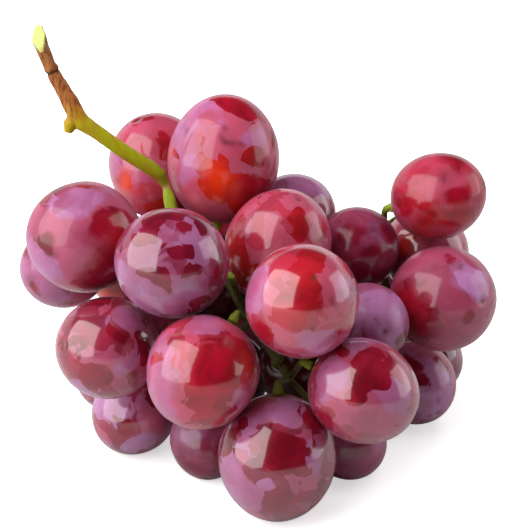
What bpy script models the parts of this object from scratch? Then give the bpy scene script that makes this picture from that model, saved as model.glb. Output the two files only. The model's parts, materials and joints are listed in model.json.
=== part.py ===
"""A bunch of large red table grapes, lying on its lowest berries with the cut stem at the upper left.

Metres, +Z up, seen from -Y. Every berry is a body of its own; the branched stem is one more.
The berries are placed by hand and eased apart until none touch. Then each is given a stalk
that finds its own way between the others, from the nearest branch to the recess in the berry.
"""

import math

import bmesh
import bpy
import numpy as np
from mathutils import Matrix, Vector

MM = 0.001
MERGE_DISTANCE = 0.01 * MM
CUT_TOLERANCE = 0.0001 * MM

# Room left between neighbouring bodies, and how far a resting berry is pressed flat, in mm.
BERRY_GAP = 0.35
STALK_GAP = 0.4
PRESSED_FLAT = 0.4
SETTLE_ROUNDS = 400

# Form of a berry: facets round it and from end to end, the recess its stalk sits in, the
# recess at its tip, both in mm, and how much fuller the half at the stalk is. A corner of the
# unit sphere beyond POLE is one of its two ends.
BERRY_SIDES = 14
BERRY_BANDS = 10
STALK_RECESS = 0.6
TIP_RECESS = 0.15
FULLER_END = 0.03
POLE = 0.999

# Stalks, in mm: radius along the run, the swollen seat under the berry, its length, how far
# out the stalk looks for its branch, and the room left in the berry's recess.
STALK_RADIUS = 0.85
SEAT_RADIUS = 1.5
SEAT_LENGTH = 2.6
APPROACH_LENGTH = 4.16
SEAT_STANDOFF = 0.15
STALK_STEPS = 9
RELAX_STEPS = 300

# Ways tried for each berry to point, and what a millimetre of missing room at its stalk costs.
DIRECTIONS_TRIED = 500
CROWDING_COST = 0.5

# Bevel resolution of the curves: 3 gives ten sides, 1 gives six.
STEM_ROUNDNESS = 3
BRANCH_ROUNDNESS = 1

# Across, deep and up of the centre, then width and length, in mm, and the skin. The first 22
# are the ones seen from the front; the next 16 fill the middle, the foot and the back.
BERRIES = (
    (-8.5, 54.5, 67.1, 26.5, 30.8, "red_skin"),
    (-24.4, 74.2, 58.4, 25.0, 27.4, "red_skin"),
    (-40.3, 32.5, 55.7, 25.4, 26.8, "wine_skin"),
    (-19.5, 17.0, 55.5, 24.4, 25.6, "purple_skin"),
    (-46.8, 50.2, 41.4, 20.2, 21.4, "wine_skin"),
    (-34.5, 20.0, 33.5, 23.2, 24.0, "wine_skin"),
    (-12.5, 3.5, 35.0, 24.6, 25.4, "red_skin"),
    (4.5, 36.0, 52.0, 24.4, 28.4, "red_skin"),
    (9.5, 4.5, 51.5, 24.6, 25.6, "red_skin"),
    (23.1, 47.5, 46.8, 19.6, 20.6, "purple_skin"),
    (42.5, 49.5, 59.5, 20.4, 23.0, "red_skin"),
    (43.5, 39.0, 37.5, 24.8, 25.4, "wine_skin"),
    (25.0, 26.5, 36.5, 18.8, 19.6, "purple_skin"),
    (22.5, 2.5, 31.0, 22.8, 24.8, "wine_skin"),
    (4.2, 4.0, 14.0, 26.4, 28.6, "wine_skin"),
    (-30.0, 35.0, 9.5, 20.0, 20.8, "wine_skin"),
    (-12.0, 22.5, 8.5, 17.6, 18.6, "purple_skin"),
    (20.5, 22.0, 9.0, 18.2, 19.2, "purple_skin"),
    (38.5, 48.5, 11.0, 20.0, 20.6, "wine_skin"),
    (43.0, 66.5, 8.5, 18.0, 18.4, "purple_skin"),
    (8.6, 61.4, 50.7, 19.4, 20.4, "purple_skin"),
    (41.0, 62.0, 40.5, 20.6, 21.6, "red_skin"),
    (-26.0, 40.0, 29.0, 19.8, 20.6, "wine_skin"),
    (-33.0, 65.0, 35.6, 21.2, 22.0, "red_skin"),
    (-36.5, 58.0, 9.5, 19.2, 20.2, "wine_skin"),
    (9.5, 59.5, 28.0, 22.6, 23.4, "purple_skin"),
    (-8.0, 51.0, 12.5, 20.6, 21.6, "wine_skin"),
    (-6.0, 78.0, 34.0, 21.4, 22.4, "red_skin"),
    (17.5, 80.5, 30.0, 21.6, 22.4, "wine_skin"),
    (24.5, 72.0, 10.0, 19.6, 20.4, "purple_skin"),
    (-27.0, 76.0, 17.5, 20.6, 21.6, "purple_skin"),
    (39.0, 78.0, 27.0, 19.6, 20.4, "wine_skin"),
    (-2.0, 74.0, 9.5, 19.4, 20.2, "red_skin"),
    (-6.0, 84.0, 53.5, 17.6, 18.2, "wine_skin"),
    (9.0, 40.0, 19.5, 19.0, 19.6, "wine_skin"),
    (-12.0, 56.0, 35.5, 22.2, 22.8, "red_skin"),
    (-37.5, 84.0, 34.0, 18.4, 19.4, "wine_skin"),
    (45.5, 82.0, 48.0, 20.2, 21.0, "red_skin"),
)

# Numbers of the berries that rest on the ground.
RESTING = (15, 16, 17, 18, 20, 25, 30, 33)

# Which way some berries point, from the stalk's end to the tip, by number.
TIPS = {
    1: (0.08, 0.15, 0.98),
    2: (-0.45, -0.35, 0.82),
    3: (-0.72, -0.66, 0.20),
    4: (-0.86, -0.38, 0.34),
    7: (-0.48, -0.40, -0.78),
    8: (0.28, -0.28, 0.92),
    11: (0.88, -0.18, 0.44),
    14: (0.88, -0.33, -0.33),
    15: (0.00, -0.35, -0.94),
    19: (0.50, -0.76, -0.40),
}

# Colour and roughness of each skin and of the stem.
SKINS = {
    "red_skin": ((0.45, 0.03, 0.06), 0.30),
    "wine_skin": ((0.30, 0.02, 0.07), 0.32),
    "purple_skin": ((0.17, 0.02, 0.09), 0.36),
}
STEM_LOOK = ((0.42, 0.36, 0.08), 0.55)

# Branches of the stem: points across, deep and up, then the radius there, in mm. Berries
# hang from the main stem from its foot on, and from the side branches.
MAIN_STEM = (
    (-51.5, 49.0, 103.5, 1.7),
    (-50.3, 48.6, 97.6, 1.75),
    (-48.4, 48.2, 92.4, 1.55),
    (-47.3, 48.0, 89.8, 1.65),
    (-45.6, 47.6, 86.8, 1.8),
    (-43.9, 47.2, 83.8, 2.0),
    (-42.3, 46.8, 80.4, 2.15),
    (-41.0, 46.6, 78.6, 2.1),
    (-38.3, 46.5, 76.8, 1.8),
    (-31.8, 46.5, 71.8, 1.75),
    (-26.0, 46.8, 67.8, 1.75),
    (-23.2, 46.9, 65.6, 1.7),
    (-21.8, 46.8, 62.8, 1.0),
    (-21.2, 46.6, 60.2, 1.5),
    (-20.6, 46.0, 56.6, 1.5),
    (-16.0, 45.0, 48.5, 1.5),
    (-8.0, 43.0, 42.0, 1.5),
    (-2.0, 35.0, 33.0, 1.1),
    (3.0, 31.0, 27.0, 1.0),
    (7.0, 26.5, 22.5, 0.9),
)
FOOT = 11
SIDE_BRANCHES = (
    ((-8.0, 43.0, 42.0, 1.3), (9.0, 44.5, 34.5, 1.2), (24.0, 49.0, 31.5, 1.1), (31.0, 53.5, 34.5, 1.0)),
    ((24.0, 49.0, 31.5, 1.0), (29.5, 56.0, 24.5, 0.9)),
    ((31.0, 53.5, 34.5, 1.0), (29.3, 57.8, 42.4, 1.0), (28.0, 70.0, 41.5, 0.9)),
    ((-16.8, 45.2, 50.0, 1.2), (-25.0, 49.5, 46.5, 1.0), (-33.0, 52.0, 46.5, 0.9)),
    ((-2.0, 35.0, 33.0, 1.1), (-12.0, 38.5, 24.5, 1.0), (-18.0, 47.0, 22.5, 1.0), (-23.0, 57.0, 22.0, 0.9)),
)

# The slanting cut at the stem's upper end, the scar in its bark and the stub under its bend.
CUT_POINT = (-50.4, 48.7, 98.9)
CUT_FACING = (-0.30, -0.79, 0.54)
BARK_SCAR = ((-47.7, 48.1, 90.2, 0.55), (-46.0, 48.1, 90.4, 0.8))
STUB = ((-42.4, 46.7, 79.8, 1.8), (-43.9, 46.3, 78.2, 1.7), (-44.4, 46.1, 76.4, 1.0))


def clear_scene():
    for obj in list(bpy.data.objects):
        bpy.data.objects.remove(obj, do_unlink=True)


def make_collection(name):
    collection = bpy.data.collections.new(name)
    bpy.context.scene.collection.children.link(collection)
    return collection


def make_material(name, colour, roughness):
    material = bpy.data.materials.new(name)
    material.use_nodes = True
    shader = material.node_tree.nodes["Principled BSDF"]
    shader.inputs["Base Color"].default_value = (*colour, 1.0)
    shader.inputs["Roughness"].default_value = roughness
    return material


def spread_directions(count):
    """Unit vectors spread evenly over a sphere."""
    index = np.arange(count) + 0.5
    up = 1.0 - 2.0 * index / count
    turn = index * math.pi * (3.0 - math.sqrt(5.0))
    level = np.sqrt(1.0 - up * up)
    return np.stack([level * np.cos(turn), level * np.sin(turn), up], axis=1)


def half_thickness(axis, width, length, direction):
    """Half the thickness of an oval berry between two planes square to the direction."""
    along = float(np.dot(axis, direction))
    return 0.5 * math.sqrt((length * along) ** 2 + width**2 * (1.0 - along * along))


def branch_points():
    """Points in short steps along every branch that carries berries."""
    points = []
    for line in (MAIN_STEM[FOOT:], *SIDE_BRANCHES):
        for first, last in zip(line[:-1], line[1:]):
            first = np.array(first[:3])
            last = np.array(last[:3])
            steps = max(2, int(np.linalg.norm(last - first)))
            points.extend(first + (last - first) * step / steps for step in range(steps + 1))
    return np.array(points)


def tip_direction(index, centres, carriers):
    """The way a berry points: its stalk's end faces its branch through an open space."""
    centre = centres[index]
    half_lengths = np.array([row[4] / 2.0 for row in BERRIES])
    others = np.arange(len(BERRIES)) != index
    if index + 1 in TIPS:
        wanted = -np.array(TIPS[index + 1])
    else:
        wanted = carriers[np.argmin(np.linalg.norm(carriers - centre, axis=1))] - centre
    wanted = wanted / np.linalg.norm(wanted)
    best_score = -math.inf
    best = wanted
    for direction in spread_directions(DIRECTIONS_TRIED):
        seat = centre + direction * (half_lengths[index] + SEAT_LENGTH)
        room = np.min(np.linalg.norm(centres[others] - seat, axis=1) - half_lengths[others])
        room = min(room, seat[2])
        score = float(direction @ wanted) + CROWDING_COST * min(0.0, room - SEAT_RADIUS - STALK_GAP)
        if score > best_score:
            best_score = score
            best = direction
    return -best


def settle(centres, axes):
    """Ease the berries apart until none touch, the resting ones pressed to the ground."""
    centres = centres.copy()
    for _ in range(SETTLE_ROUNDS):
        for i, (_, _, _, width, length, _) in enumerate(BERRIES):
            for j in range(i):
                between = centres[i] - centres[j]
                distance = np.linalg.norm(between)
                direction = between / distance
                wanted = half_thickness(axes[i], width, length, direction) + BERRY_GAP
                wanted += half_thickness(axes[j], BERRIES[j][3], BERRIES[j][4], direction)
                if distance < wanted:
                    centres[i] += direction * (wanted - distance) / 2.0
                    centres[j] -= direction * (wanted - distance) / 2.0
            height = half_thickness(axes[i], width, length, (0.0, 0.0, 1.0))
            if i + 1 in RESTING:
                centres[i][2] = height - PRESSED_FLAT
            else:
                centres[i][2] = max(centres[i][2], height + BERRY_GAP)
    return centres


def clearing_move(point, centres, axes):
    """The move that takes a point of a stalk clear of every berry and of the ground."""
    widths = np.array([row[3] for row in BERRIES])
    lengths = np.array([row[4] for row in BERRIES])
    away = point - centres
    distance = np.linalg.norm(away, axis=1)
    direction = away / distance[:, None]
    along = np.sum(direction * axes, axis=1) ** 2
    surface = 0.5 / np.sqrt(along / lengths**2 + (1.0 - along) / widths**2)
    short = np.maximum(0.0, surface + STALK_RADIUS + STALK_GAP - distance)
    move = np.sum(direction * short[:, None], axis=0)
    move[2] += max(0.0, STALK_RADIUS + STALK_GAP - point[2])
    return move


def stalk_line(index, centres, axes, carriers):
    """A stalk from its branch round the other berries to its own: points and radii."""
    half_length = BERRIES[index][4] / 2.0
    outward = -axes[index]
    seat_end = centres[index] + outward * (half_length + SEAT_STANDOFF)
    seat_start = centres[index] + outward * (half_length + SEAT_LENGTH)
    approach = centres[index] + outward * (half_length + APPROACH_LENGTH)
    start = carriers[np.argmin(np.linalg.norm(carriers - approach, axis=1))]
    points = [start + (seat_start - start) * step / STALK_STEPS for step in range(STALK_STEPS + 1)]
    for _ in range(RELAX_STEPS):
        for step in range(1, STALK_STEPS):
            middle = (points[step - 1] + points[step + 1]) / 2.0
            eased = (points[step] + middle) / 2.0
            points[step] = eased + clearing_move(eased, centres, axes)
    line = [(*point, STALK_RADIUS) for point in points]
    line.append((*seat_end, SEAT_RADIUS))
    return line


def make_rod(name, line, roundness, collection):
    """A closed round rod along a line of points, each with its own radius."""
    curve = bpy.data.curves.new(name, "CURVE")
    curve.dimensions = "3D"
    curve.bevel_depth = MM
    curve.bevel_resolution = roundness
    curve.use_fill_caps = True
    spline = curve.splines.new("POLY")
    spline.points.add(len(line) - 1)
    for point, (across, deep, up, radius) in zip(spline.points, line):
        point.co = (across * MM, deep * MM, up * MM, 1.0)
        point.radius = radius
    rod = bpy.data.objects.new(name, curve)
    collection.objects.link(rod)
    bpy.context.view_layer.update()
    mesh = bpy.data.meshes.new_from_object(rod.evaluated_get(bpy.context.evaluated_depsgraph_get()))
    bpy.data.objects.remove(rod, do_unlink=True)
    work = bmesh.new()
    work.from_mesh(mesh)
    bmesh.ops.remove_doubles(work, verts=work.verts, dist=MERGE_DISTANCE)
    bmesh.ops.recalc_face_normals(work, faces=work.faces)
    work.to_mesh(mesh)
    work.free()
    solid = bpy.data.objects.new(name, mesh)
    collection.objects.link(solid)
    return solid


def cut_off(mesh, point, facing):
    """Take away what lies beyond a plane, in the mesh's own frame, and close the cut."""
    work = bmesh.new()
    work.from_mesh(mesh)
    geometry = list(work.verts) + list(work.edges) + list(work.faces)
    cut = bmesh.ops.bisect_plane(work, geom=geometry, plane_co=point, plane_no=facing,
                                 clear_outer=True, dist=CUT_TOLERANCE)
    edges = [item for item in cut["geom_cut"] if isinstance(item, bmesh.types.BMEdge)]
    bmesh.ops.contextual_create(work, geom=edges)
    work.to_mesh(mesh)
    work.free()


def make_berry(name, centre, axis, width, length, collection):
    """An oval berry from a sphere, its stalk's end at -Z, turned so that +Z is its tip."""
    work = bmesh.new()
    bmesh.ops.create_uvsphere(work, u_segments=BERRY_SIDES, v_segments=BERRY_BANDS, radius=1.0)
    for vertex in work.verts:
        x, y, z = vertex.co
        fuller = 1.0 - FULLER_END * z
        height = z * length / 2.0
        if z < -POLE:
            height += STALK_RECESS
        elif z > POLE:
            height -= TIP_RECESS
        vertex.co = Vector((x * fuller * width / 2.0, y * fuller * width / 2.0, height)) * MM
    mesh = bpy.data.meshes.new(name)
    work.to_mesh(mesh)
    work.free()
    berry = bpy.data.objects.new(name, mesh)
    berry.location = Vector(centre) * MM
    berry.rotation_euler = Vector((0.0, 0.0, 1.0)).rotation_difference(Vector(axis)).to_euler()
    collection.objects.link(berry)
    return berry


def press_flat(berry):
    """Flatten a resting berry where it meets the ground."""
    bpy.context.view_layer.update()
    to_berry = berry.matrix_world.inverted()
    cut_off(berry.data, to_berry @ Vector((0.0, 0.0, 0.0)), to_berry.to_3x3() @ Vector((0.0, 0.0, -1.0)))


def build_berries(centres, axes, collection):
    skins = {name: make_material(name, *look) for name, look in SKINS.items()}
    berries = []
    for index, (_, _, _, width, length, skin) in enumerate(BERRIES):
        number = index + 1
        berry = make_berry(f"berry_{number:02d}", centres[index], axes[index], width, length, collection)
        if number in RESTING:
            press_flat(berry)
        berry.data.materials.append(skins[skin])
        berries.append(berry)
    return berries


def join_rods(stem, rods):
    """Make the main stem and the rods that grow from it one closed body."""
    union = stem.modifiers.new("union", "BOOLEAN")
    union.operation = "UNION"
    union.solver = "MANIFOLD"
    union.operand_type = "COLLECTION"
    union.collection = rods
    bpy.context.view_layer.update()
    mesh = bpy.data.meshes.new_from_object(stem.evaluated_get(bpy.context.evaluated_depsgraph_get()))
    stem.modifiers.clear()
    stem.data = mesh
    for rod in list(rods.objects):
        bpy.data.objects.remove(rod, do_unlink=True)
    work = bmesh.new()
    work.from_mesh(mesh)
    bmesh.ops.remove_doubles(work, verts=work.verts, dist=MERGE_DISTANCE)
    loose = [vertex for vertex in work.verts if not vertex.link_faces]
    bmesh.ops.delete(work, geom=loose, context="VERTS")
    work.to_mesh(mesh)
    work.free()


def build_stem(centres, axes, carriers, collection):
    rods = make_collection("stem_rods")
    stem = make_rod("stem", MAIN_STEM, STEM_ROUNDNESS, collection)
    cut_off(stem.data, Vector(CUT_POINT) * MM, Vector(CUT_FACING))
    make_rod("stub", STUB, STEM_ROUNDNESS, rods)
    make_rod("bark_scar", BARK_SCAR, BRANCH_ROUNDNESS, rods)
    for line in SIDE_BRANCHES:
        make_rod("branch", line, BRANCH_ROUNDNESS, rods)
    for index in range(len(BERRIES)):
        make_rod("stalk", stalk_line(index, centres, axes, carriers), BRANCH_ROUNDNESS, rods)
    join_rods(stem, rods)
    stem.data.materials.clear()
    stem.data.materials.append(make_material("stem_wood", *STEM_LOOK))
    return stem


def centre_footprint(pieces, collection):
    """Hang every piece on an empty, moved so that the footprint's middle is the origin."""
    bpy.context.view_layer.update()
    corners = np.array([piece.matrix_world @ vertex.co for piece in pieces for vertex in piece.data.vertices])
    middle = (corners.min(axis=0) + corners.max(axis=0)) / 2.0
    holder = bpy.data.objects.new("bunch", None)
    collection.objects.link(holder)
    for piece in pieces:
        piece.parent = holder
    holder.location = (-middle[0], -middle[1], 0.0)


def build_bunch():
    clear_scene()
    collection = make_collection("grape_bunch")
    carriers = branch_points()
    centres = np.array([row[:3] for row in BERRIES])
    axes = np.array([tip_direction(index, centres, carriers) for index in range(len(BERRIES))])
    centres = settle(centres, axes)
    berries = build_berries(centres, axes, collection)
    stem = build_stem(centres, axes, carriers, collection)
    centre_footprint([*berries, stem], collection)


build_bunch()
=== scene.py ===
"""Looks of a bunch of large red table grapes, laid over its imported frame.

Metres, +Z up, seen from -Y. Every berry and the stem are rebuilt as fine meshes on their CAD nodes.
"""

import json
import math

import bmesh
import bpy
import numpy as np
from mathutils import Matrix, Vector
from mathutils.bvhtree import BVHTree
from mathutils.kdtree import KDTree


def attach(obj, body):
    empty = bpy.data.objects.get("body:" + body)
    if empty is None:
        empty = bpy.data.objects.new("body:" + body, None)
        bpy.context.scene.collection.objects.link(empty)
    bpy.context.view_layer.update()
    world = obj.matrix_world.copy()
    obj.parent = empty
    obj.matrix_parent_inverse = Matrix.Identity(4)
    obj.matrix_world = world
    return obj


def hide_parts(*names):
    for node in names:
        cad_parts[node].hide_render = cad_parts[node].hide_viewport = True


MM = 0.001

# Camera: how far it looks down, its distance from the target, its focal length in pixels, and
# from what distance on it sees.
CAMERA_TILT = math.radians(22.0)
CAMERA_DISTANCE = 0.430
CAMERA_TARGET = Vector((0.00062, -0.00714, 0.0475))
FOCAL_PIXELS = 1850.0
PHOTO_HEIGHT = 531.0
SENSOR_HEIGHT = 24.0
CLIP_START = 0.01

# Berries: facets round and from end to end, and how much closer the rings lie at the ends.
BERRY_SIDES = 96
BERRY_BANDS = 64
RINGS_AT_ENDS = 0.72
# Form, as in the CAD: how much fuller the stalk's half is.
FULLER_END = 0.03
# The fine skin: how far it lies off the fitted form, its recesses, and the ring and the scar there.
SKIN_LIFT = 0.08 * MM
STALK_RECESS = 0.65 * MM
STALK_RECESS_WIDTH = 1.7 * MM
STALK_RING_WIDTH = 1.3 * STALK_RECESS_WIDTH
TIP_RECESS = 0.30 * MM
TIP_RECESS_WIDTH = 1.1 * MM
SCAR_WIDTH = 0.55 * MM
# Angles from the tip, in radians, where the tip's region ends and the stalk's begins, and a
# distance in metres that stands for a place outside them.
TIP_ENDS = 1.0
STALK_BEGINS = 2.0
FAR_AWAY = 1.0
# Gentle lumps: their height, their length, how that varies, and how many waves make them.
LUMP_HEIGHT = 0.16 * MM
LUMP_LENGTH = 9.0 * MM
LUMP_SPREAD = (0.7, 2.0)
LUMP_WAVES = 7
# Fine waves: how many, how their length varies, and what brings their sum to about -1 to 1.
FINE_WAVES = 12
FINE_SPREAD = (0.6, 1.6)
FINE_SUM = 4
# Fit to a berry's node: how far off the ground and off both ends the corners lie that it uses,
# its number of steps, and the nudge that measures each step's slopes.
FIT_OFF_GROUND = 0.02 * MM
FIT_OFF_ENDS = 2.0 * MM
FIT_STEPS = 12
FIT_NUDGE = 1e-6
# How far the edges of the bloom's patches wander, and over what length, in radii.
RAGGED = ((0.10, 1.1), (0.055, 0.45))
# A berry's near side, the camera's: how sharply it ends, and how far round it reaches.
NEAR_SIDE_SHARPNESS = 2
NEAR_SIDE_REACH = 0.6

# Stem: size of its facets, how they are smoothed, and the seed of its random waves.
STEM_FACET = 0.27 * MM
SMOOTHING = 0.5
SMOOTHING_STEPS = 6
STEM_SEED = 7
# Warts at its seats, and streaks that are stretched upright, with the share of their height that
# is left where there is no bark.
WART_HEIGHT = 0.16 * MM
WART_WIDTH = 1.6 * MM
STREAK_HEIGHT = 0.10 * MM
STREAK_WIDTH = 1.3 * MM
STREAK_STRETCH = (1.0, 1.0, 0.3)
STREAK_WITHOUT_BARK = 0.35
# The crack round the bark and the rim above it. Widths and the rim's place are mm along the stem.
CRACK_DEPTH = 0.22 * MM
CRACK_WIDTH = 0.35
RIM_HEIGHT = 0.16 * MM
RIM_ABOVE_CRACK = 0.8
RIM_WIDTH = 0.5

# Middle line of the main stem in mm, from its upper end down into the bunch.
MAIN_LINE = (
    (-50.95, 6.9, 103.5),
    (-49.75, 6.5, 97.6),
    (-47.85, 6.1, 92.4),
    (-46.75, 5.9, 89.8),
    (-43.35, 5.1, 83.8),
    (-40.45, 4.5, 78.6),
    (-37.75, 4.4, 76.8),
    (-31.25, 4.4, 71.8),
    (-25.45, 4.7, 67.8),
    (-22.65, 4.8, 65.6),
    (-21.25, 4.7, 62.8),
    (-20.65, 4.5, 60.2),
    (-20.05, 3.9, 56.6),
    (-15.45, 2.9, 48.5),
    (-7.45, 0.9, 42.0),
    (-1.45, -7.1, 33.0),
    (3.55, -11.1, 27.0),
    (7.55, -15.6, 22.5),
)
# The slanting cut: a point on it in mm, and the way it faces.
CUT_POINT = (-49.85, 6.6, 98.9)
CUT_FACING = (-0.30, -0.79, 0.54)

# Colour along the main stem: mm from its upper end, then red, green and blue.
STEM_COLOURS = (
    (0.0, (0.16, 0.12, 0.06)),
    (6.0, (0.26, 0.12, 0.05)),
    (9.0, (0.31, 0.13, 0.045)),
    (13.0, (0.32, 0.115, 0.035)),
    (21.0, (0.34, 0.13, 0.03)),
    (24.0, (0.38, 0.20, 0.016)),
    (27.0, (0.38, 0.28, 0.008)),
    (34.0, (0.32, 0.30, 0.005)),
    (41.0, (0.27, 0.31, 0.004)),
    (47.0, (0.23, 0.29, 0.004)),
    (49.5, (0.20, 0.19, 0.008)),
    (51.7, (0.32, 0.27, 0.03)),
    (52.6, (0.52, 0.40, 0.10)),
    (53.6, (0.36, 0.46, 0.03)),
    (58.0, (0.38, 0.52, 0.04)),
    # From here on, inside the bunch, the green is darkened with painted shade.
    (66.0, (0.09, 0.10, 0.01)),
    (75.0, (0.045, 0.04, 0.008)),
    (90.0, (0.04, 0.03, 0.008)),
)
CUT_COLOUR = (0.50, 0.57, 0.18)
# The branches inside the bunch, in a dark colour that is painted shade.
SHADED_BRANCH_COLOUR = (0.06, 0.05, 0.01)
# Seats lower in the bunch, darkened with painted shade.
SHADED_SEAT_COLOUR = (0.13, 0.15, 0.012)
# The seats of the highest berries, painted lighter as if in the light: from what height, and their
# colour.
HIGH_SEATS_FROM = 50.0 * MM
LIT_SEAT_COLOUR = (0.30, 0.40, 0.03)
# How far from a berry's stalk end its seat reaches.
SEAT_REACH = 3.2 * MM
# Places along the main stem, in mm: where the bark ends and the length over which it fades, the
# crack, the stub's lower end, and the place above which the cut lies.
BARK_END = 27.0
BARK_FADE = 4.0
SCAR_ALONG = 13.9
STUB_END = 40.0
CUT_END = 14.0
# How far from its middle line the main stem reaches, how much further it does down to the stub's
# end, and the length over which its colour gives way to the branches' painted shade.
MAIN_REACH = 2.6 * MM
STUB_REACH = 4.0 * MM
REACH_FADE = 1.0 * MM
# What belongs to the cut: how near its plane, and how squarely it faces the cut's way.
CUT_DEPTH = 0.5 * MM
CUT_SQUARENESS = 0.75
# Orange-brown streaks: mm along the stem, then how strong they are there, then their colour.
STREAKED = ((8.0, 12.0, 24.0, 32.0, 44.0, 50.0, 52.0), (0.0, 0.5, 0.7, 0.6, 0.45, 0.5, 0.0))
STREAK_COLOUR = (0.40, 0.095, 0.012)
# Their width in the stem's radii, how far their pattern moves with each mm along, its contrast
# and its mean.
STREAK_ROUND = 1.4
STREAK_DRIFT = 0.12
STREAK_CONTRAST = 0.8
STREAK_MEAN = 0.2

# Look of each skin: dark flesh, usual flesh, flesh with a painted glow of light shining through, and
# bloom.
SKIN_COLOURS = {
    "red_skin": (
        (0.22, 0.003, 0.010),
        (0.36, 0.004, 0.020),
        (0.68, 0.034, 0.002),
        (0.48, 0.096, 0.180),
    ),
    "wine_skin": (
        (0.14, 0.002, 0.010),
        (0.25, 0.004, 0.020),
        (0.46, 0.008, 0.005),
        (0.45, 0.100, 0.195),
    ),
    "purple_skin": (
        (0.12, 0.002, 0.012),
        (0.20, 0.004, 0.022),
        (0.30, 0.006, 0.012),
        (0.38, 0.110, 0.240),
    ),
}
# Thick bloom, specks and marks, the ring at the stalk, the scar at the tip, and the painted shade inside
# the bunch.
THICK_BLOOM = (0.43, 0.20, 0.44)
MARK_COLOUR = (0.09, 0.006, 0.012)
STALK_RING_COLOUR = (0.30, 0.16, 0.05)
SCAR_COLOUR = (0.10, 0.035, 0.02)
PAINTED_SHADE_COLOUR = (0.02, 0.001, 0.001)

# How much bloom a berry carries where the list below says nothing else.
USUAL_BLOOM = {"red_skin": 0.62, "wine_skin": 0.66, "purple_skin": 0.60}
BLOOM = {
    "berry_01": 0.66,
    "berry_03": 0.76,
    "berry_04": 0.56,
    "berry_05": 0.52,
    "berry_06": 0.60,
    "berry_07": 0.51,
    "berry_09": 0.57,
    "berry_10": 0.30,
    "berry_11": 0.50,
    "berry_12": 0.84,
    "berry_13": 0.70,
    "berry_14": 0.48,
    "berry_15": 0.60,
    "berry_16": 0.80,
    "berry_19": 0.95,
    "berry_22": 0.50,
}
# How strong the sharp reflections of a berry are, where they are weaker than full.
GLOSS = {
    "berry_01": 0.45,
    "berry_02": 0.60,
    "berry_03": 0.40,
    "berry_05": 0.50,
    "berry_07": 0.75,
    "berry_08": 0.65,
    "berry_10": 0.15,
    "berry_11": 0.30,
    "berry_12": 0.45,
    "berry_13": 0.25,
    "berry_17": 0.50,
    "berry_18": 0.50,
    "berry_19": 0.55,
    "berry_24": 0.50,
}
# How softly the bloom fades at the edges of its patches, where it isn't sharp.
SOFTNESS = {
    "berry_02": 0.15,
    "berry_03": 0.35,
    "berry_05": 0.30,
    "berry_10": 0.50,
    "berry_11": 0.45,
    "berry_12": 0.55,
    "berry_13": 0.30,
    "berry_17": 0.30,
    "berry_18": 0.30,
    "berry_19": 0.30,
    "berry_20": 0.30,
    "berry_22": 0.40,
}

# The least share of its bloom that a berry's near side keeps where none is rubbed off. Elsewhere
# the bloom is worn at random.
EVEN_BLOOM = {
    "berry_01": 1.0,
    "berry_02": 0.7,
    "berry_03": 0.8,
    "berry_04": 0.4,
    "berry_05": 0.3,
    "berry_08": 0.4,
    "berry_09": 0.3,
    "berry_10": 0.5,
    "berry_11": 0.3,
    "berry_12": 0.7,
    "berry_13": 0.8,
    "berry_14": 0.4,
    "berry_19": 0.35,
    "berry_21": 0.8,
    "berry_22": 0.6,
}

# How much painted shade darkens the berries inside the bunch, where no light reaches.
INNER_SHADE = {
    "berry_17": 0.2,
    "berry_23": 0.5,
    "berry_26": 0.9,
    "berry_27": 0.95,
    "berry_35": 0.95,
    "berry_36": 0.9,
}

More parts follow.
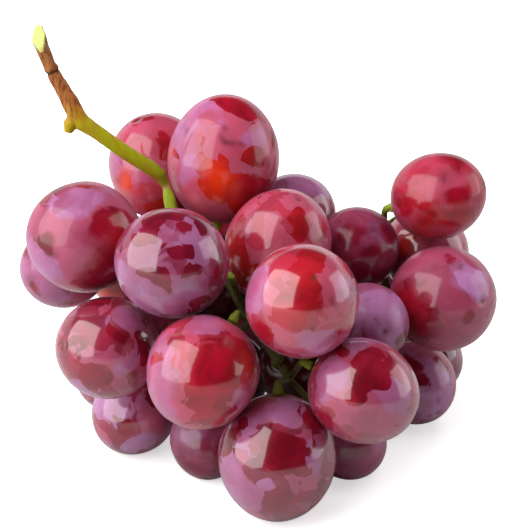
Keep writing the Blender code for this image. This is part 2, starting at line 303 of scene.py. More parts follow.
# Places where the bloom is rubbed off, seen from the camera: across and up from the berry's
# middle in radii, then the patch's radius in degrees.
RUBBED = {
    "berry_01": (
        (-0.05, 0.90, 9),
        (0.20, 0.82, 14),
        (0.46, 0.72, 14),
        (0.66, 0.60, 9),
        (0.90, 0.30, 8),
        (-0.15, -0.46, 30),
        (0.20, -0.62, 18),
        (0.43, 0.04, 10),
        (0.60, -0.02, 7),
        (0.45, -0.68, 22),
    ),
    "berry_02": (
        (-0.54, -0.38, 15),
        (-0.30, 0.84, 12),
        (0.10, 0.45, 12),
        (0.15, 0.10, 15),
        (-0.05, -0.85, 20),
    ),
    "berry_03": (
        (0.62, 0.04, 18),
        (0.40, -0.50, 22),
        (0.20, -0.80, 24),
        (-0.60, -0.25, 8),
        (-0.55, 0.68, 11),
        (0.05, 0.95, 8),
        (0.75, 0.35, 12),
    ),
    "berry_04": (
        (-0.35, 0.78, 20),
        (0.10, 0.85, 20),
        (0.60, 0.60, 11),
        (0.10, 0.27, 12),
        (0.32, 0.25, 8),
        (0.36, -0.10, 12),
        (-0.45, -0.25, 10),
        (-0.18, -0.32, 10),
        (0.85, -0.05, 8),
        (0.55, -0.65, 16),
    ),
    "berry_05": ((-0.85, 0.30, 18), (-0.60, -0.60, 15), (0.00, -0.90, 16)),
    "berry_06": (
        (-0.20, 0.90, 18),
        (0.15, 0.30, 11),
        (-0.50, -0.05, 11),
        (0.80, 0.05, 16),
        (-0.15, -0.50, 16),
        (-0.85, 0.10, 8),
    ),
    "berry_07": (
        (0.26, 0.20, 30),
        (0.75, 0.20, 22),
        (0.05, -0.15, 20),
        (-0.70, 0.48, 14),
        (0.30, -0.72, 14),
    ),
    "berry_08": (
        (-0.88, 0.05, 14),
        (-0.82, -0.25, 24),
        (-0.62, -0.55, 24),
        (0.20, 0.42, 12),
        (0.33, 0.25, 13),
        (-0.35, 0.82, 9),
        (0.05, 0.90, 7),
    ),
    "berry_09": ((0.10, 0.70, 20), (0.10, 0.25, 20), (-0.15, -0.25, 19), (-0.72, -0.55, 14)),
    "berry_10": (
        (-0.30, 0.50, 16),
        (0.05, 0.30, 9),
        (0.30, -0.10, 9),
        (-0.80, -0.20, 16),
        (0.00, -0.80, 34),
        (0.75, 0.35, 10),
    ),
    "berry_11": (
        (0.35, -0.05, 13),
        (0.45, 0.78, 14),
        (-0.30, -0.68, 28),
        (-0.75, -0.30, 16),
        (0.20, -0.60, 20),
    ),
    "berry_12": (
        (-0.55, -0.50, 24),
        (-0.82, -0.02, 26),
        (0.30, -0.30, 8),
        (0.15, 0.75, 9),
        (0.88, 0.10, 8),
    ),
    "berry_13": ((-0.80, -0.15, 34), (-0.40, -0.65, 18), (0.60, -0.70, 14), (0.82, -0.30, 14)),
    "berry_14": (
        (0.00, 0.42, 24),
        (0.28, 0.20, 14),
        (-0.20, -0.10, 11),
        (-0.55, 0.70, 8),
        (-0.70, -0.50, 14),
    ),
    "berry_15": (
        (0.10, 0.10, 24),
        (0.38, -0.10, 14),
        (-0.60, 0.55, 12),
        (0.55, 0.70, 16),
        (-0.82, 0.30, 14),
        (0.75, -0.45, 13),
    ),
    "berry_16": ((0.50, 0.35, 16), (-0.20, -0.15, 10)),
    "berry_19": ((-0.10, 0.45, 12), (0.10, 0.00, 10), (0.60, 0.60, 13), (0.30, -0.70, 8)),
    "berry_22": ((-0.45, 0.25, 24), (0.35, 0.45, 18)),
    "berry_24": ((-0.60, -0.55, 34),),
}

# Places where the bloom stays thick, given the same way.
THICK = {
    "berry_01": ((-0.75, 0.30, 26), (0.60, 0.20, 14), (-0.30, 0.75, 18)),
    "berry_02": ((-0.90, 0.10, 20),),
    "berry_03": ((0.00, 0.70, 30), (-0.80, -0.40, 22)),
    "berry_04": ((0.50, 0.45, 20), (-0.88, -0.20, 24), (-0.55, -0.72, 26), (0.10, -0.75, 22)),
    "berry_05": ((-0.60, -0.30, 40),),
    "berry_06": ((0.55, 0.45, 20), (0.45, -0.30, 16), (-0.30, -0.85, 22)),
    "berry_07": ((-0.80, 0.30, 22), (-0.75, -0.45, 26), (0.10, 0.90, 20), (0.60, -0.45, 12)),
    "berry_09": ((-0.85, 0.25, 20), (0.80, 0.10, 18), (0.40, -0.65, 20)),
    "berry_10": ((0.45, 0.40, 12),),
    "berry_12": ((0.45, 0.45, 14),),
    "berry_13": ((0.20, 0.40, 45), (0.60, -0.30, 25)),
    "berry_14": ((-0.75, 0.20, 20), (-0.20, 0.92, 24), (0.55, 0.00, 20)),
    "berry_15": ((-0.75, -0.30, 26), (0.05, 0.80, 16), (0.62, 0.10, 14), (-0.45, 0.55, 10)),
    "berry_16": ((-0.55, 0.20, 36), (0.10, -0.70, 22)),
    "berry_17": ((-0.40, 0.35, 30),),
    "berry_19": ((0.20, 0.10, 34), (0.50, -0.40, 20)),
    "berry_21": ((0.30, 0.75, 30),),
}

# Places with a painted glow of light shining through the flesh, given the same way, with the strength
# last.
PAINTED_GLOW_SPOTS = {
    "berry_01": (
        (-0.20, -0.40, 24, 1.0),
        (0.37, 0.02, 14, 0.2),
        (-0.50, -0.70, 20, 0.8),
        (0.10, -0.75, 18, 0.5),
    ),
    "berry_02": ((-0.54, -0.40, 18, 1.0), (0.00, -0.80, 40, 0.5)),
    "berry_03": ((0.70, -0.10, 22, 0.6),),
    "berry_07": ((0.80, 0.20, 18, 0.45),),
    "berry_08": ((-0.85, -0.40, 34, 0.3), (0.15, 0.35, 20, 0.1)),
    "berry_09": ((0.20, 0.55, 30, 0.16), (0.00, -0.10, 24, 0.1)),
    "berry_11": ((-0.30, -0.75, 32, 0.2),),
    "berry_12": ((-0.80, -0.10, 30, 0.3),),
    "berry_22": ((-0.45, 0.25, 26, 0.5),),
    "berry_24": ((-0.60, -0.55, 32, 1.0),),
}

# Small dark marks, given the same way as the places of painted glow.
MARKS = {
    "berry_01": (
        (-0.63, 0.52, 4, 0.6),
        (-0.60, 0.41, 3, 0.6),
        (-0.03, 0.47, 3, 0.8),
        (0.04, 0.38, 3, 0.7),
        (0.14, 0.31, 3, 0.8),
        (0.25, 0.28, 3, 0.8),
        (0.80, -0.05, 3, 0.7),
        (0.90, -0.10, 3, 0.8),
    ),
    "berry_03": (
        (-0.75, -0.27, 3, 0.5),
        (-0.62, -0.27, 3, 0.6),
        (-0.52, -0.30, 4, 0.6),
        (-0.43, -0.33, 3, 0.6),
    ),
    "berry_05": ((-0.56, -0.40, 3, 0.5),),
    "berry_07": ((-0.64, -0.05, 4, 0.6), (-0.44, -0.11, 3, 0.4)),
    "berry_09": ((0.89, 0.16, 4, 0.9), (0.50, -0.12, 4, 0.6), (0.57, -0.20, 3, 0.6)),
    "berry_10": (
        (-0.40, 0.78, 3, 0.7),
        (-0.13, 0.77, 4, 0.7),
        (0.00, 0.35, 3, 0.6),
        (0.37, 0.26, 4, 0.7),
        (0.28, 0.03, 3, 0.7),
        (0.74, 0.00, 3, 0.6),
        (-0.47, 0.27, 3, 0.6),
    ),
    "berry_11": ((-0.35, 0.58, 3, 0.9), (0.02, 0.45, 3, 0.7), (0.30, 0.85, 4, 0.6)),
    "berry_12": (
        (-0.43, 0.53, 3, 0.7),
        (-0.50, 0.27, 4, 0.7),
        (-0.45, -0.02, 3, 0.6),
        (-0.11, 0.60, 3, 0.5),
        (0.93, 0.20, 7, 0.9),
        (0.77, -0.16, 3, 0.6),
        (0.41, 0.62, 3, 0.5),
        (0.11, -0.69, 3, 0.6),
    ),
    "berry_13": (
        (0.18, -0.09, 3, 0.7),
        (0.30, -0.20, 3, 0.7),
        (-0.03, 0.64, 3, 0.5),
        (0.80, -0.28, 6, 0.8),
    ),
    "berry_15": ((-0.26, 0.52, 2, 0.6),),
    "berry_19": ((0.75, 0.36, 3, 0.8), (0.75, 0.07, 3, 0.7), (0.46, -0.33, 3, 0.6)),
}

# The floor: how far it reaches, its grey as the camera and as the berries see it, and how much
# light it adds for the camera, as a white floor that is overexposed does.
FLOOR_REACH = 3.0
FLOOR_SEEN = 0.92
FLOOR_FROM_BERRIES = 0.55
FLOOR_GLOW = 0.55

# The room: the range of directions, +Y and +Z of a unit length, over which the white backdrop
# starts at its sides and ends at its top, then its light and colour and the light of the rest.
BACKDROP_SIDES = (0.02, 0.15)
BACKDROP_TOP = (0.32, 0.50)
BACKDROP_LIGHT = 0.85
BACKDROP_COLOUR = (0.95, 0.97, 1.0, 1.0)
ROOM_LIGHT = 0.02

# Lights: place, width, height and power in watts.
WINDOW = ((-0.70, -0.36, 0.48), 1.25, 1.35, 20.0)
PANEL = ((0.90, 0.08, 0.30), 0.70, 0.80, 3.4)
OVERHEAD = ((0.0, 0.05, 1.2), 1.6, 1.6, 15.5)

# Noise on the skins and the stem: features a metre, detail and distortion.
BROAD_NOISE = (75.0, 1.5, 0.5)
WEAR_NOISE = (90.0, 2.0, 0.7)
PATCHY_NOISE = (170.0, 4.0, 0.6)
GRAIN_NOISE = (1500.0, 3.0, 0.0)
BLOTCH_NOISE = (420.0, 4.0, 0.6)
BARK_NOISE = (1500.0, 4.0, 0.4)
BARK_STRETCH = (1.0, 1.0, 0.22)
# The bloom's plates, how many a metre, and the noise that bends them and how far it does.
PLATES = 190.0
BEND_NOISE = {"Scale": 160.0, "Detail": 1.0}
BEND = 5.0 * MM
# Dark specks on the skins, how many a metre, and the strength of these and of the stem's flecks.
SPECKS = 230.0
SPECK_STRENGTH = 0.7
FLECK_STRENGTH = 0.35

# What a noise, a plate's shade or the bloom's cover is carried from and to, and, where it isn't
# 0 to 1, onto what.
USUAL_FLESH = (0.35, 0.65)
PAINTED_GLOW_BY_NOISE = (0.15, 0.55, 0.65, 1.0)
BLOOM_BY_PLATE = (0.0, 1.0, 0.75, 1.0)
BLOOM_BY_GRAIN = (0.2, 0.6, 0.85, 1.0)
LILAC_IN_PATCH = (-0.40, 0.15)
LILAC_BY_NOISE = (0.25, 0.6, 0.4, 0.9)
SPECK_EDGE = (0.05, 0.11, 1.0, 0.0)
SPECKLED = (0.55, 0.60)
SKIN_ROUGHNESS = (0.0, 0.8, 0.22, 0.45)
BARK_SHADE = (0.42, 0.64, 0.0, 0.8)
FLECKS = (0.58, 0.66)
STEM_ROUGHNESS = (0.3, 0.7, 0.42, 0.62)

# How strongly noise and plates shift the edges of the bloom's patches, and half the width of a
# sharp edge, in shares of a patch's radius.
EDGE_BY_NOISE = 2.6
EDGE_BY_PLATES = 0.6
SHARP_EDGE = 0.05
# Wear: the noise below which bloom is worn off, its contrast, and the share that wear leaves.
WEAR_BELOW = 0.485
WEAR_CONTRAST = 3.0
WORN_BLOOM = 0.25

# Dark streaks in the bark, blotches and the crack.
BARK_COLOUR = (0.15, 0.035, 0.012)
FLECK_COLOUR = (0.30, 0.15, 0.02)
CRACK_COLOUR = (0.035, 0.015, 0.01)

# Surfaces, as sockets of the shader, and the strength and depth of their bumps.
SKIN_SURFACE = {
    "Subsurface Weight": 0.35,
    "Subsurface Radius": (1.0, 0.15, 0.10),
    "Subsurface Scale": 2.5 * MM,
    "Specular IOR Level": 0.25,
    "Coat IOR": 1.6,
    "Coat Roughness": 0.05,
    "Sheen Weight": 0.07,
    "Sheen Roughness": 0.35,
    "Sheen Tint": (0.80, 0.62, 1.0, 1.0),
}
SKIN_BUMP = (0.06, 0.1 * MM)
STEM_SURFACE = {
    "Subsurface Weight": 0.12,
    "Subsurface Radius": (0.6, 0.7, 0.15),
    "Subsurface Scale": 0.8 * MM,
    "Specular IOR Level": 0.12,
}
BARK_BUMP = (0.45, 0.15 * MM)
FLOOR_SURFACE = {
    "Roughness": 0.9,
    "Specular IOR Level": 0.0,
    "Emission Color": (1.0, 1.0, 1.0, 1.0),
}


def new_piece(name, mesh, nodes):
    """Shows a mesh as a piece in place of its CAD nodes, riding on the one body."""
    piece = bpy.data.objects.new(name, mesh)
    bpy.context.scene.collection.objects.link(piece)
    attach(piece, "root")
    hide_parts(*nodes)


def corners(mesh, what="co"):
    """A mesh's corners, or their normals, as an array of points."""
    points = np.zeros(len(mesh.vertices) * 3)
    mesh.vertices.foreach_get(what, points)
    return points.reshape(-1, 3)


def move_corners(mesh, points):
    """Puts a mesh's corners at the points and shades it smoothly."""
    mesh.vertices.foreach_set("co", points.ravel())
    mesh.update()
    mesh.polygons.foreach_set("use_smooth", np.ones(len(mesh.polygons), bool))


def heading(start, end):
    """Unit direction from one point to another."""
    return (end - start) / np.linalg.norm(end - start)


def bell(distance, width):
    """1 at no distance, falling smoothly to almost nothing at twice the width."""
    return np.exp(-((distance / width) ** 2))


def egg_misfit(values, stalk_end, points):
    """How far points lie off an egg with its stalk at stalk_end, as a share of its size."""
    centre, half_width, half_length = values[:3], values[3], values[4]
    axis = heading(stalk_end, centre)
    from_centre = points - centre
    along = from_centre @ axis / half_length
    across = np.linalg.norm(from_centre - np.outer(from_centre @ axis, axis), axis=1)
    return np.hypot(across / (half_width * (1 - FULLER_END * along)), along) - 1


def side_corners(points, centre, stalk_end):
    """The corners that a fit uses: off the flat of the ground and off the recesses."""
    used = points[:, 2] > FIT_OFF_GROUND
    for end in (stalk_end, 2 * centre - stalk_end):
        used &= np.linalg.norm(points - end, axis=1) > FIT_OFF_ENDS
    return points[used]


def fit_berry(node, stem_tree):
    """Centre, direction from stalk to tip, half width and half length of a berry's node."""
    points = corners(node.data)
    to_stem = [stem_tree.find_nearest(Vector(point))[3] for point in points]
    stalk_end = points[int(np.argmin(to_stem))]
    centre = (points.min(axis=0) + points.max(axis=0)) / 2
    used = side_corners(points, centre, stalk_end)
    reach = np.linalg.norm(used - centre, axis=1).mean()
    values = np.array([*centre, reach, reach])
    nudges = np.eye(len(values)) * FIT_NUDGE
    for _ in range(FIT_STEPS):
        misfit = egg_misfit(values, stalk_end, used)
        slopes = [(egg_misfit(values + nudge, stalk_end, used) - misfit) / FIT_NUDGE for nudge in nudges]
        values = values - np.linalg.lstsq(np.array(slopes).T, misfit, rcond=None)[0]
    centre, half_width, half_length = values[:3], values[3], values[4]
    axis = heading(stalk_end, centre)
    return {"centre": centre, "axis": axis, "half_width": half_width, "half_length": half_length}


def waves(points, rng, number, length, spread):
    """The sum of waves in random directions, of about a given length."""
    height = np.zeros(len(points))
    for _ in range(number):
        slope = rng.normal(size=3)
        slope /= np.linalg.norm(slope) * length * rng.uniform(*spread)
        height += np.sin(points @ slope * math.tau + rng.uniform(0, math.tau))
    return height


def lumps(points, rng):
    """The gentle uneven height of a berry's skin."""
    return waves(points, rng, LUMP_WAVES, LUMP_LENGTH, LUMP_SPREAD) * LUMP_HEIGHT / LUMP_WAVES


def fine_waves(points, rng, length):
    """Uneven heights of about -1 to 1, with features of about a given length."""
    return waves(points, rng, FINE_WAVES, length, FINE_SPREAD) / FINE_SUM


def toward_camera(across, up):
    """Direction from a berry's middle to a place on its skin that the camera sees there."""
    near = math.sqrt(max(0.0, 1 - across**2 - up**2))
    right = np.array((1.0, 0.0, 0.0))
    above = np.array((0.0, math.sin(CAMERA_TILT), math.cos(CAMERA_TILT)))
    back = np.array((0.0, -math.cos(CAMERA_TILT), math.sin(CAMERA_TILT)))
    return across * right + up * above + near * back


def ragged(outward, rng):
    """Directions moved a little this way and that, so that patches get uneven edges."""
    moved = outward.copy()
    for size, length in RAGGED:
        moved += size * np.stack([fine_waves(outward, rng, length) for _ in range(3)], axis=1)
    return moved / np.linalg.norm(moved, axis=1)[:, None]


def angle_from(outward, across, up):
    """The angles in degrees between directions and the place that the camera sees there."""
    return np.degrees(np.arccos(np.clip(outward @ toward_camera(across, up), -1, 1)))


def patch_depth(outward, patches):
    """How deep each point lies in the patches: 1 at a middle, 0 at an edge, less outside."""
    depth = np.full(len(outward), -1.0)
    for across, up, radius in patches:
        depth = np.maximum(depth, 1 - angle_from(outward, across, up) / radius)
    return depth


def spot_share(outward, spots):
    """How strongly each point belongs to spots that fade toward their edges."""
    share = np.zeros(len(outward))
    for across, up, radius, strength in spots:
        share = np.maximum(share, strength * bell(angle_from(outward, across, up), radius))
    return share


def store(mesh, name, values):
    """Keeps a value for each corner, for the material to read."""
    mesh.attributes.new(name, "FLOAT", "POINT").data.foreach_set("value", values.astype(np.float32))


def store_look(mesh, name, skin, outward, uneven):
    """Keeps what the lists above say of a berry, for its material to read."""
    store(mesh, "rubbed", patch_depth(uneven, RUBBED.get(name, ())))
    store(mesh, "thick", patch_depth(uneven, THICK.get(name, ())))
    store(mesh, "painted_glow", spot_share(uneven, PAINTED_GLOW_SPOTS.get(name, ())))
    store(mesh, "mark", spot_share(uneven, MARKS.get(name, ())))
    facing = outward @ toward_camera(0.0, 0.0)
    near_side = np.clip(facing * NEAR_SIDE_SHARPNESS + NEAR_SIDE_REACH, 0, 1)
    store(mesh, "even", EVEN_BLOOM.get(name, 0.0) * near_side)
    shade = INNER_SHADE.get(name, 0.0)
    all_over = {
        "gloss": GLOSS.get(name, 1.0) * (1 - shade),
        "soft": SOFTNESS.get(name, 0.0),
        "bloom": BLOOM.get(name, USUAL_BLOOM[skin]) * (1 - shade),
        "shade": shade,
    }
    for look, value in all_over.items():
        store(mesh, look, np.full(len(outward), value))


def sphere_mesh(name):
    """A unit sphere with a berry's facets."""
    shape = bmesh.new()
    bmesh.ops.create_uvsphere(shape, u_segments=BERRY_SIDES, v_segments=BERRY_BANDS, radius=1.0)
    mesh = bpy.data.meshes.new(name)
    shape.to_mesh(mesh)
    shape.free()
    return mesh


def berry_mesh(name, berry, skin):
    """A fine egg-shaped mesh on a fitted berry, with a recess at each end and gentle lumps."""
    mesh = sphere_mesh(name)
    unit = corners(mesh)
    around = np.arctan2(unit[:, 1], unit[:, 0])
    polar = np.arccos(np.clip(unit[:, 2], -1, 1))
    polar = polar - RINGS_AT_ENDS * np.sin(2 * polar) / 2
    across = berry["half_width"] * np.sin(polar) * (1 - FULLER_END * np.cos(polar))
    from_tip = np.where(polar < TIP_ENDS, across, FAR_AWAY)
    from_stalk = np.where(polar > STALK_BEGINS, across, FAR_AWAY)
    along = berry["half_length"] * np.cos(polar)
    along = along + STALK_RECESS * bell(from_stalk, STALK_RECESS_WIDTH)
    along = along - TIP_RECESS * bell(from_tip, TIP_RECESS_WIDTH)

    side = np.array(Vector(berry["axis"]).orthogonal().normalized())
    other = np.cross(berry["axis"], side)
    ring = np.outer(np.cos(around), side) + np.outer(np.sin(around), other)
    offset = across[:, None] * ring + along[:, None] * berry["axis"]
    outward = offset / np.linalg.norm(offset, axis=1)[:, None]
    rng = np.random.default_rng(int(name[-2:]))
    height = SKIN_LIFT + lumps(offset, rng) * np.sin(polar) ** 2
    points = berry["centre"] + offset + outward * height[:, None]
    points[:, 2] = np.maximum(points[:, 2], 0.0)

    move_corners(mesh, points)
    store_look(mesh, name, skin, outward, ragged(outward, rng))
    store(mesh, "tip_scar", bell(from_tip, SCAR_WIDTH))
    store(mesh, "stalk_ring", bell(from_stalk, STALK_RING_WIDTH))
    return mesh


class Nodes:
    """Adds shader nodes to a material or the world and joins them."""

    def __init__(self, owner):
        self.owner = owner
        self.tree = owner.node_tree

    def add(self, kind, inputs=None, **settings):
        """A node of a kind, with its settings, and its inputs as numbers or other sockets."""
        node = self.tree.nodes.new(kind)
        for name, value in settings.items():
            setattr(node, name, value)
        for name, value in (inputs or {}).items():
            self.put(node.inputs[name], value)
        return node

    def put(self, socket, value):
        """Sets a socket, or links it where the value is another socket."""
        if isinstance(value, bpy.types.NodeSocket):
            self.tree.links.new(value, socket)
        else:
            socket.default_value = value

    def surface(self, values):
        """Sets or links sockets of the material's own shader."""
        for name, value in values.items():
            self.put(self.tree.nodes["Principled BSDF"].inputs[name], value)

    def attribute(self, name):
        """A value kept on the mesh."""
        return self.add("ShaderNodeAttribute", attribute_name=name).outputs["Fac"]

    def colour_attribute(self, name):
        """A colour kept on the mesh."""
        return self.add("ShaderNodeAttribute", attribute_name=name).outputs["Color"]

    def place(self):
        """The point's place on the object."""
        return self.add("ShaderNodeTexCoord").outputs["Object"]

    def direction(self):
        """The direction into the world."""
        return self.add("ShaderNodeTexCoord").outputs["Generated"]

    def noise(self, scale, detail, distortion, place):
        """Smooth noise whose features are about 1 / scale metres."""
        inputs = {"Vector": place, "Scale": scale, "Detail": detail, "Distortion": distortion}
        return self.add("ShaderNodeTexNoise", inputs).outputs["Fac"]

    def bump(self, height, strength, distance):
        """The normal of a surface with small bumps."""
        inputs = {"Height": height, "Strength": strength, "Distance": distance}
        return self.add("ShaderNodeBump", inputs).outputs["Normal"]

    def maths(self, operation, first, second, clamp=False):
        """One step of arithmetic."""
        node = self.add("ShaderNodeMath", operation=operation, use_clamp=clamp)
        self.put(node.inputs[0], first)
        self.put(node.inputs[1], second)
        return node.outputs[0]

    def spread(self, value, middle, contrast):
        """How far a value lies above a middle, times a contrast."""
        return self.maths("MULTIPLY", self.maths("SUBTRACT", value, middle), contrast)

    def between(self, value, low, high, start=0.0, end=1.0):
        """A value carried smoothly from the range low to high onto start to end."""
        node = self.add("ShaderNodeMapRange", interpolation_type="SMOOTHSTEP")
        for name, number in (("Value", value), ("From Min", low), ("From Max", high)):
            self.put(node.inputs[name], number)
        self.put(node.inputs["To Min"], start)
        self.put(node.inputs["To Max"], end)
        return node.outputs["Result"]

    def mix(self, share, first, second):
        """Two colours mixed."""
        node = self.add("ShaderNodeMix", data_type="RGBA")
        self.put(node.inputs["Factor"], share)
        for socket, value in zip((node.inputs[6], node.inputs[7]), (first, second)):
            self.put(socket, (*value, 1.0) if isinstance(value, tuple) else value)
        return node.outputs[2]


def shader_nodes(name):
    """A new material, ready for its nodes."""
    material = bpy.data.materials.new(name)
    material.use_nodes = True
    return Nodes(material)


def bloom_plates(nodes, place):
    """Places bent by noise, and a shade of grey for each plate that the bloom breaks into there."""
    bent = nodes.add("ShaderNodeTexNoise", {"Vector": place, **BEND_NOISE}).outputs["Color"]
    shift = nodes.add("ShaderNodeVectorMath", {0: bent, "Scale": BEND}, operation="SCALE").outputs[0]
    moved = nodes.add("ShaderNodeVectorMath", {0: place, 1: shift}, operation="ADD").outputs[0]
    plates = nodes.add("ShaderNodeTexVoronoi", {"Vector": moved, "Scale": PLATES}).outputs["Color"]
    return moved, nodes.add("ShaderNodeSeparateColor", {"Color": plates}).outputs["Red"]


def bloom_cover(nodes, edge, moved, plate, grain):
    """How much bloom lies on the flesh: none in rubbed patches, all in thick ones, else worn."""
    soft = nodes.attribute("soft")
    fade = (nodes.maths("SUBTRACT", -SHARP_EDGE, soft), nodes.maths("ADD", SHARP_EDGE, soft))
    unrubbed = nodes.between(nodes.maths("SUBTRACT", edge, nodes.attribute("rubbed")), *fade)
    thick = nodes.between(nodes.maths("ADD", edge, nodes.attribute("thick")), *fade)
    wear = nodes.spread(nodes.noise(*WEAR_NOISE, moved), WEAR_BELOW, WEAR_CONTRAST)
    worn = nodes.between(wear, *fade, WORN_BLOOM, 1.0)
    least = nodes.maths("MAXIMUM", thick, nodes.attribute("even"))
    cover = nodes.maths("MULTIPLY", unrubbed, nodes.maths("MAXIMUM", worn, least))
    cover = nodes.maths("MULTIPLY", cover, nodes.between(plate, *BLOOM_BY_PLATE))
    cover = nodes.maths("MULTIPLY", cover, nodes.attribute("bloom"))
    return nodes.maths("MULTIPLY", cover, nodes.between(grain, *BLOOM_BY_GRAIN), clamp=True)


def with_marks(nodes, colour, place, patchy):
    """A skin's colour with its specks, marks, ring and scar, and painted shade inside the bunch."""
    cells = nodes.add("ShaderNodeTexVoronoi", {"Vector": place, "Scale": SPECKS}).outputs["Distance"]
    specks = nodes.maths("MULTIPLY", nodes.between(cells, *SPECK_EDGE), nodes.between(patchy, *SPECKLED))
    specks = nodes.maths("MULTIPLY", specks, SPECK_STRENGTH)
    marks = nodes.maths("MAXIMUM", specks, nodes.attribute("mark"))
    colour = nodes.mix(marks, colour, MARK_COLOUR)
    colour = nodes.mix(nodes.attribute("stalk_ring"), colour, STALK_RING_COLOUR)
    colour = nodes.mix(nodes.attribute("tip_scar"), colour, SCAR_COLOUR)
    return nodes.mix(nodes.attribute("shade"), colour, PAINTED_SHADE_COLOUR)


def skin_material(skin):
    """Glossy, slightly see-through skin under patches of pale bloom."""
    nodes = shader_nodes(skin)
    dark, usual, glow_colour, bloom = SKIN_COLOURS[skin]
    place = nodes.place()
    patchy = nodes.noise(*PATCHY_NOISE, place)
    grain = nodes.noise(*GRAIN_NOISE, place)
    flesh = nodes.mix(nodes.between(patchy, *USUAL_FLESH), dark, usual)
    # Painted glow, as of light shining through the flesh, at the listed spots.
    painted_glow = nodes.maths("MULTIPLY", nodes.attribute("painted_glow"), nodes.between(patchy, *PAINTED_GLOW_BY_NOISE))
    flesh = nodes.mix(painted_glow, flesh, glow_colour)

    moved, plate = bloom_plates(nodes, place)
    edge = nodes.spread(nodes.noise(*BROAD_NOISE, place), 0.5, EDGE_BY_NOISE)
    edge = nodes.maths("ADD", edge, nodes.spread(plate, 0.5, EDGE_BY_PLATES))
    cover = bloom_cover(nodes, edge, moved, plate, grain)
    inner = nodes.between(nodes.maths("ADD", edge, nodes.attribute("thick")), *LILAC_IN_PATCH)
    lilac = nodes.maths("MULTIPLY", inner, nodes.between(patchy, *LILAC_BY_NOISE))
    colour = nodes.mix(cover, flesh, nodes.mix(lilac, bloom, THICK_BLOOM))

    nodes.surface(SKIN_SURFACE)
    nodes.surface(
        {
            "Base Color": with_marks(nodes, colour, place, patchy),
            "Roughness": nodes.between(cover, *SKIN_ROUGHNESS),
            "Coat Weight": nodes.attribute("gloss"),
            "Normal": nodes.bump(grain, *SKIN_BUMP),
        }
    )
    return nodes.owner


def along_stem(points):
    """For each point, the distance down the main stem in mm, and its offset from that line."""
    line = np.array(MAIN_LINE) * MM
    lengths = np.linalg.norm(np.diff(line, axis=0), axis=1)
    starts = np.concatenate(([0.0], np.cumsum(lengths)[:-1]))
    offset = np.full(points.shape, np.inf)
    along = np.zeros(len(points))
    for start, first, last, length in zip(starts, line[:-1], line[1:], lengths):
        share = np.clip((points - first) @ (last - first) / length**2, 0, 1)
        step = points - first - share[:, None] * (last - first)
        closer = np.linalg.norm(step, axis=1) < np.linalg.norm(offset, axis=1)
        offset[closer] = step[closer]
        along[closer] = (start + share * length)[closer]
    return along / MM, offset


def cut_share(points, outward, along):
    """1 for points on the slanting cut, 0 for others."""
    facing = np.array(CUT_FACING) / np.linalg.norm(CUT_FACING)
    depth = np.abs((points - np.array(CUT_POINT) * MM) @ facing)
    on_cut = (depth < CUT_DEPTH) & (outward @ facing > CUT_SQUARENESS) & (along < CUT_END)
    return on_cut.astype(float)


def painted(colour, share, paint):
    """Each point's colour with a share of paint over it."""
    return colour * (1 - share[:, None]) + np.array(paint) * share[:, None]


def stem_colours(points, along, offset, seats, cut, rng):
    """Each point's colour by its place on the stem, with painted shade deep in the bunch, on the
    branches and on the low seats.
    """
    stops = [stop for stop, _ in STEM_COLOURS]
    table = np.array([colour for _, colour in STEM_COLOURS])
    colour = np.stack([np.interp(along, stops, table[:, band]) for band in range(3)], axis=1)
    off = np.linalg.norm(offset, axis=1)
    around = offset / off[:, None] + STREAK_DRIFT * along[:, None]
    streaks = fine_waves(around, rng, STREAK_ROUND) * STREAK_CONTRAST + STREAK_MEAN
    colour = painted(colour, np.clip(streaks, 0, 1) * np.interp(along, *STREAKED), STREAK_COLOUR)
    # Away from the main line the branches get the painted shade colour.
    reach = MAIN_REACH + STUB_REACH * (along < STUB_END)
    colour = painted(colour, np.clip((off - reach) / REACH_FADE, 0, 1), SHADED_BRANCH_COLOUR)
    # Seats get a painted shade green low in the bunch and a painted lit green high up.
    high = (points[:, 2] > HIGH_SEATS_FROM)[:, None]
    colour = painted(colour, bell(seats, SEAT_REACH), np.where(high, LIT_SEAT_COLOUR, SHADED_SEAT_COLOUR))
    return painted(colour, cut, CUT_COLOUR)


def fine_stem(node):
    """The stem's node rebuilt with fine, smoothed facets."""
    scratch = bpy.data.objects.new("scratch_stem", node.data.copy())
    bpy.context.scene.collection.objects.link(scratch)
    bpy.context.view_layer.objects.active = scratch
    remesh = scratch.modifiers.new("Remesh", "REMESH")
    remesh.mode = "VOXEL"
    remesh.voxel_size = STEM_FACET
    smooth = scratch.modifiers.new("Smooth", "SMOOTH")
    smooth.factor = SMOOTHING
    smooth.iterations = SMOOTHING_STEPS
    shape = scratch.evaluated_get(bpy.context.evaluated_depsgraph_get())
    mesh = bpy.data.meshes.new_from_object(shape)
    mesh.materials.clear()
    mesh.name = "stem_grown"
    bpy.data.objects.remove(scratch)
    return mesh


def seat_distances(points, berries):
    """How far each point lies from the nearest berry's stalk end."""
    tree = KDTree(len(berries))
    for index, berry in enumerate(berries):
        tree.insert(berry["centre"] - berry["axis"] * berry["half_length"], index)
    tree.balance()
    return np.array([tree.find(point)[2] for point in points])


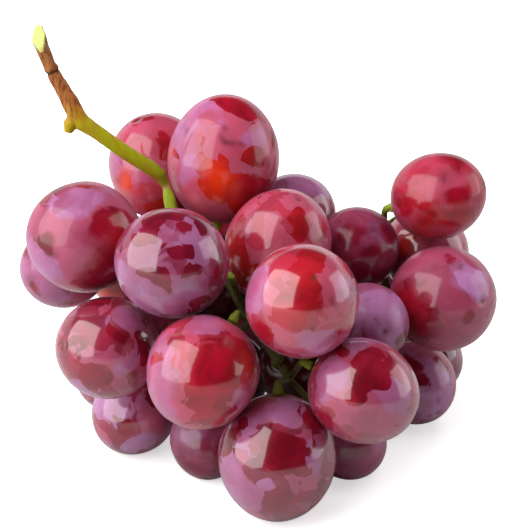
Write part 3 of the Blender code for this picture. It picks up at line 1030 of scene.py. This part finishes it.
def stem_mesh(node, berries):
    """The stem's node with fine facets, bark streaks, a cracked ring and warty seats."""
    mesh = fine_stem(node)
    points = corners(mesh)
    outward = corners(mesh, "normal")
    seats = seat_distances(points, berries)
    along, offset = along_stem(points)
    on_main = np.linalg.norm(offset, axis=1) < MAIN_REACH
    cut = cut_share(points, outward, along)
    bark = np.clip((BARK_END - along) / BARK_FADE, 0, 1) * on_main * (1 - cut)
    crack = bell(along - SCAR_ALONG, CRACK_WIDTH) * on_main
    rim = bell(along - SCAR_ALONG + RIM_ABOVE_CRACK, RIM_WIDTH) * bark

    rng = np.random.default_rng(STEM_SEED)
    colour = stem_colours(points, along, offset, seats, cut, rng)
    warts = fine_waves(points, rng, WART_WIDTH) * WART_HEIGHT * bell(seats, SEAT_REACH)
    streaks = fine_waves(points * STREAK_STRETCH, rng, STREAK_WIDTH) * STREAK_HEIGHT
    streaks *= STREAK_WITHOUT_BARK + (1 - STREAK_WITHOUT_BARK) * bark
    height = warts + streaks - CRACK_DEPTH * crack + RIM_HEIGHT * rim
    move_corners(mesh, points + outward * height[:, None])
    layer = mesh.attributes.new("tint_and_shade", "FLOAT_COLOR", "POINT")
    opaque = np.hstack((colour, np.ones((len(points), 1))))
    layer.data.foreach_set("color", opaque.astype(np.float32).ravel())
    store(mesh, "bark", bark)
    store(mesh, "crack", crack)
    return mesh


def stem_material():
    """Bark that runs from cracked brown at the cut to waxy green, with painted shade inside the bunch.
    """
    nodes = shader_nodes("stem_wood")
    place = nodes.place()
    stretched = nodes.add("ShaderNodeMapping", {"Vector": place, "Scale": BARK_STRETCH})
    streaks = nodes.noise(*BARK_NOISE, stretched.outputs["Vector"])
    shade = nodes.maths("MULTIPLY", nodes.between(streaks, *BARK_SHADE), nodes.attribute("bark"))
    colour = nodes.mix(shade, nodes.colour_attribute("tint_and_shade"), BARK_COLOUR)
    flecks = nodes.between(nodes.noise(*BLOTCH_NOISE, place), *FLECKS)
    colour = nodes.mix(nodes.maths("MULTIPLY", flecks, FLECK_STRENGTH), colour, FLECK_COLOUR)
    nodes.surface(STEM_SURFACE)
    nodes.surface(
        {
            "Base Color": nodes.mix(nodes.attribute("crack"), colour, CRACK_COLOUR),
            "Roughness": nodes.between(streaks, *STEM_ROUGHNESS),
            "Normal": nodes.bump(streaks, *BARK_BUMP),
        }
    )
    return nodes.owner


def area_light(name, place, width, height, power, in_reflections=True):
    """A soft rectangular light that faces the bunch."""
    data = bpy.data.lights.new(name, "AREA")
    data.shape = "RECTANGLE"
    data.size = width
    data.size_y = height
    data.energy = power
    light = bpy.data.objects.new(name, data)
    light.location = place
    outward = (Vector(place) - CAMERA_TARGET).normalized()
    across = Vector((0.0, math.sin(CAMERA_TILT), math.cos(CAMERA_TILT))).cross(outward).normalized()
    light.rotation_euler = Matrix((across, outward.cross(across), outward)).transposed().to_euler()
    light.visible_glossy = in_reflections
    bpy.context.scene.collection.objects.link(light)


def light_studio():
    """A softbox at the upper left, a panel at the right, and a low white backdrop in a dark room."""
    world = bpy.data.worlds.new("studio")
    world.use_nodes = True
    nodes = Nodes(world)
    direction = nodes.add("ShaderNodeSeparateXYZ", {"Vector": nodes.direction()})
    behind = nodes.between(direction.outputs["Y"], *BACKDROP_SIDES)
    low = nodes.between(direction.outputs["Z"], *BACKDROP_TOP, 1.0, 0.0)
    backdrop = nodes.maths("MULTIPLY", behind, low)
    light = nodes.between(backdrop, 0.0, 1.0, ROOM_LIGHT, BACKDROP_LIGHT)
    seen = nodes.add("ShaderNodeLightPath").outputs["Is Camera Ray"]
    background = world.node_tree.nodes["Background"]
    nodes.put(background.inputs["Strength"], nodes.maths("MAXIMUM", light, seen))
    nodes.put(background.inputs["Color"], BACKDROP_COLOUR)
    bpy.context.scene.world = world
    area_light("window", *WINDOW)
    area_light("panel", *PANEL)
    area_light("overhead", *OVERHEAD, in_reflections=False)


def add_floor():
    """A plain floor, white to the camera and quieter in the berries' reflections."""
    nodes = shader_nodes("white_floor")
    seen = nodes.add("ShaderNodeLightPath").outputs["Is Camera Ray"]
    nodes.surface(FLOOR_SURFACE)
    nodes.surface(
        {
            "Base Color": nodes.mix(seen, (FLOOR_FROM_BERRIES,) * 3, (FLOOR_SEEN,) * 3),
            "Emission Strength": nodes.maths("MULTIPLY", seen, FLOOR_GLOW),
        }
    )
    shape = bmesh.new()
    bmesh.ops.create_grid(shape, x_segments=1, y_segments=1, size=FLOOR_REACH)
    mesh = bpy.data.meshes.new("floor")
    shape.to_mesh(mesh)
    shape.free()
    mesh.materials.append(nodes.owner)
    floor = bpy.data.objects.new("floor", mesh)
    bpy.context.scene.collection.objects.link(floor)


def add_camera():
    """The photograph's camera."""
    data = bpy.data.cameras.new("camera")
    data.sensor_fit = "VERTICAL"
    data.sensor_height = SENSOR_HEIGHT
    data.lens = FOCAL_PIXELS / PHOTO_HEIGHT * SENSOR_HEIGHT
    data.clip_start = CLIP_START
    camera = bpy.data.objects.new("camera", data)
    ahead = Vector((0.0, math.cos(CAMERA_TILT), -math.sin(CAMERA_TILT)))
    camera.location = CAMERA_TARGET - ahead * CAMERA_DISTANCE
    camera.rotation_euler = (math.pi / 2 - CAMERA_TILT, 0.0, 0.0)
    bpy.context.scene.collection.objects.link(camera)
    bpy.context.scene.camera = camera


def dress_bunch(frame):
    """Replaces every berry and the stem by a finer piece in the same place."""
    skins = {name: skin_material(name) for name in SKIN_COLOURS}
    slots = {part["node"]: part["material_slot"] for part in frame["record"]["subparts"]}
    stem_tree = BVHTree.FromObject(frame["nodes"]["stem"], bpy.context.evaluated_depsgraph_get())
    berries = []
    for name in sorted(frame["nodes"]):
        if name == "stem":
            continue
        berry = fit_berry(frame["nodes"][name], stem_tree)
        berries.append(berry)
        mesh = berry_mesh(name, berry, slots[name])
        mesh.materials.append(skins[slots[name]])
        new_piece(f"{name}_skin", mesh, [name])
    mesh = stem_mesh(frame["nodes"]["stem"], berries)
    mesh.materials.append(stem_material())
    new_piece("stem_grown", mesh, ["stem"])


with open("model.json") as file:
    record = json.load(file)
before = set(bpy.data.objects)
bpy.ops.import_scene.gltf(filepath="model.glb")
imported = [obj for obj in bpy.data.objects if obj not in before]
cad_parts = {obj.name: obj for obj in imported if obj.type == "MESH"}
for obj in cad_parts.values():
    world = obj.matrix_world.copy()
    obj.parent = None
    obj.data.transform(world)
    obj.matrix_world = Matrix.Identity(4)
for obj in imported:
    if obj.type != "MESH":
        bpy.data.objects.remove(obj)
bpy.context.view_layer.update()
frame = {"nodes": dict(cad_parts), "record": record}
bpy.context.scene.view_settings.view_transform = "Standard"
add_camera()
light_studio()
add_floor()
dress_bunch(frame)
